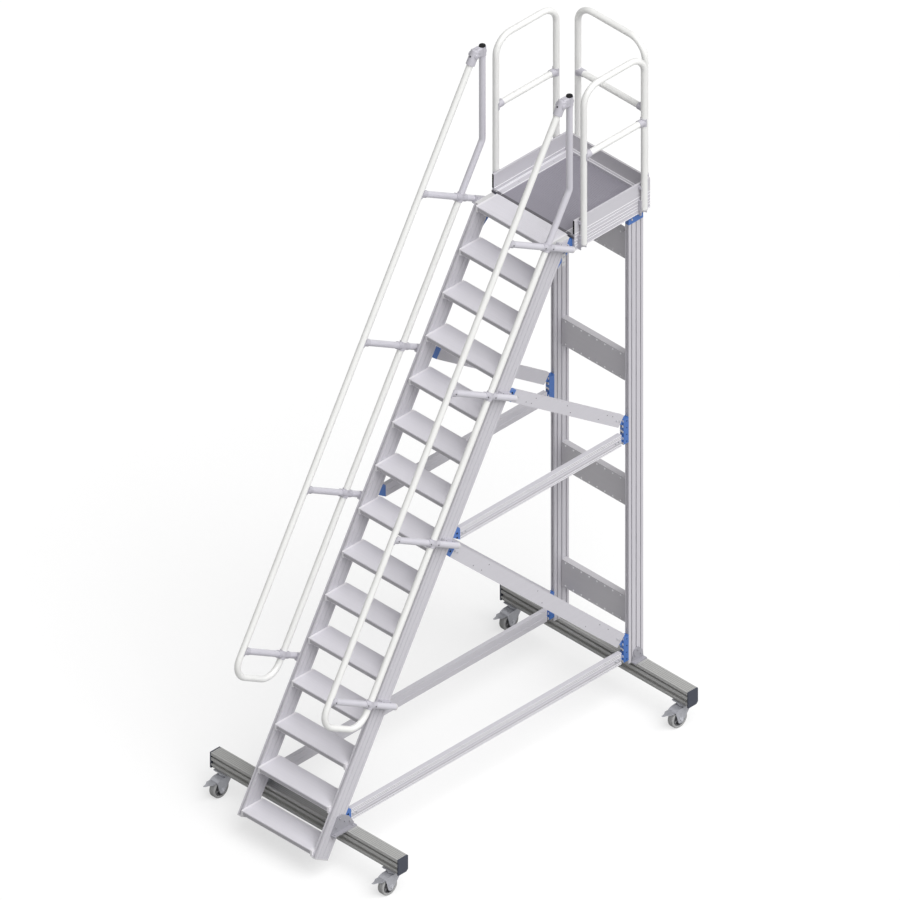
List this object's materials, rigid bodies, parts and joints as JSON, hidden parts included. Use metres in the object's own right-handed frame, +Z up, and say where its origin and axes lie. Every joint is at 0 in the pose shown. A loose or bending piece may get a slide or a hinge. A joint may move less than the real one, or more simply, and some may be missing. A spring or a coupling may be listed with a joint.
{
  "type": "mobile platform stairs",
  "caption": "Steep mobile stairs with ribbed treads and tube handrails up to a railed platform on a braced frame, standing on braked swivel casters.",
  "frame": {"origin": "on the floor, in the middle of the overall footprint", "axes": "+X to the climber's right, +Y the way the climber faces, +Z up"},
  "size_m": [1.56, 2.7976, 4.631],
  "materials": {
    "bar_aluminium": "mill finish, satin",
    "plate_aluminium": "mill finish sheet",
    "tread_aluminium": "ribbed extrusion, satin",
    "deck_aluminium": "ribbed planks",
    "tube_aluminium": "smooth satin tube",
    "cast_fitting": "cast light metal, matte grey",
    "blue_plastic": "moulded",
    "black_plastic": "moulded",
    "slate_plastic": "moulded, fine grain",
    "light_plastic": "moulded",
    "zinc_steel": "bright zinc plated",
    "wheel_plastic": "moulded",
    "tyre_rubber": "grey non-marking rubber"
  },
  "bodies": {
    "root": {"base_beam_front": "bar_aluminium", "base_beam_rear": "bar_aluminium", "stringer_left": "bar_aluminium", "stringer_right": "bar_aluminium", "rear_post_left": "bar_aluminium", "rear_post_right": "bar_aluminium", "side_braces": "bar_aluminium", "platform_side_left": "bar_aluminium", "platform_side_right": "bar_aluminium", "platform_rails": "bar_aluminium", "cross_plates": "plate_aluminium", "diagonals": "plate_aluminium", "toe_board_left": "plate_aluminium", "toe_board_right": "plate_aluminium", "toe_board_rear": "plate_aluminium", "treads": "tread_aluminium", "tread_ends": "tread_aluminium", "deck": "deck_aluminium", "guard_left": "tube_aluminium", "guard_right": "tube_aluminium", "guard_rear": "tube_aluminium", "knee_rails": "tube_aluminium", "handrail_left": "tube_aluminium", "handrail_right": "tube_aluminium", "handrail_arms_left": "tube_aluminium", "handrail_arms_right": "tube_aluminium", "handrail_uprights": "tube_aluminium", "guard_tees": "cast_fitting", "guard_brackets": "cast_fitting", "handrail_tees": "cast_fitting", "handrail_elbows": "cast_fitting", "arm_saddles": "cast_fitting", "beam_feet": "cast_fitting", "connectors": "blue_plastic", "handrail_plugs": "black_plastic", "deck_edge": "black_plastic", "beam_end_caps": "slate_plastic", "tube_end_caps": "light_plastic", "stringer_plugs": "light_plastic", "caster_plates": "zinc_steel"},
    "swivel_front_left": {"caster_fork_front_left": "zinc_steel", "brake_pedal_front_left": "zinc_steel", "wheel_axle_front_left": "zinc_steel"},
    "wheel_front_left": {"caster_wheel_front_left": "wheel_plastic", "tyre_front_left": "tyre_rubber"},
    "swivel_front_right": {"caster_fork_front_right": "zinc_steel", "brake_pedal_front_right": "zinc_steel", "wheel_axle_front_right": "zinc_steel"},
    "wheel_front_right": {"caster_wheel_front_right": "wheel_plastic", "tyre_front_right": "tyre_rubber"},
    "swivel_rear_left": {"caster_fork_rear_left": "zinc_steel", "brake_pedal_rear_left": "zinc_steel", "wheel_axle_rear_left": "zinc_steel"},
    "wheel_rear_left": {"caster_wheel_rear_left": "wheel_plastic", "tyre_rear_left": "tyre_rubber"},
    "swivel_rear_right": {"caster_fork_rear_right": "zinc_steel", "brake_pedal_rear_right": "zinc_steel", "wheel_axle_rear_right": "zinc_steel"},
    "wheel_rear_right": {"caster_wheel_rear_right": "wheel_plastic", "tyre_rear_right": "tyre_rubber"}
  },
  "joints": [
    {"name": "swivel_front_left_turn", "type": "hinge", "parent": "root", "child": "swivel_front_left", "pos_m": [-0.697, -1.1282, 0.15], "axis": [0, 0, 1], "continuous": true},
    {"name": "wheel_front_left_roll", "type": "hinge", "parent": "swivel_front_left", "child": "wheel_front_left", "pos_m": [-0.697, -1.1762, 0.0625], "axis": [1, 0, 0], "continuous": true},
    {"name": "swivel_front_right_turn", "type": "hinge", "parent": "root", "child": "swivel_front_right", "pos_m": [0.697, -1.1282, 0.15], "axis": [0, 0, 1], "continuous": true},
    {"name": "wheel_front_right_roll", "type": "hinge", "parent": "swivel_front_right", "child": "wheel_front_right", "pos_m": [0.697, -1.1762, 0.0625], "axis": [1, 0, 0], "continuous": true},
    {"name": "swivel_rear_left_turn", "type": "hinge", "parent": "root", "child": "swivel_rear_left", "pos_m": [-0.697, 1.2698, 0.15], "axis": [0, 0, 1], "continuous": true},
    {"name": "wheel_rear_left_roll", "type": "hinge", "parent": "swivel_rear_left", "child": "wheel_rear_left", "pos_m": [-0.697, 1.2218, 0.0625], "axis": [1, 0, 0], "continuous": true},
    {"name": "swivel_rear_right_turn", "type": "hinge", "parent": "root", "child": "swivel_rear_right", "pos_m": [0.697, 1.2698, 0.15], "axis": [0, 0, 1], "continuous": true},
    {"name": "wheel_rear_right_roll", "type": "hinge", "parent": "swivel_rear_right", "child": "wheel_rear_right", "pos_m": [0.697, 1.2218, 0.0625], "axis": [1, 0, 0], "continuous": true}
  ]
}
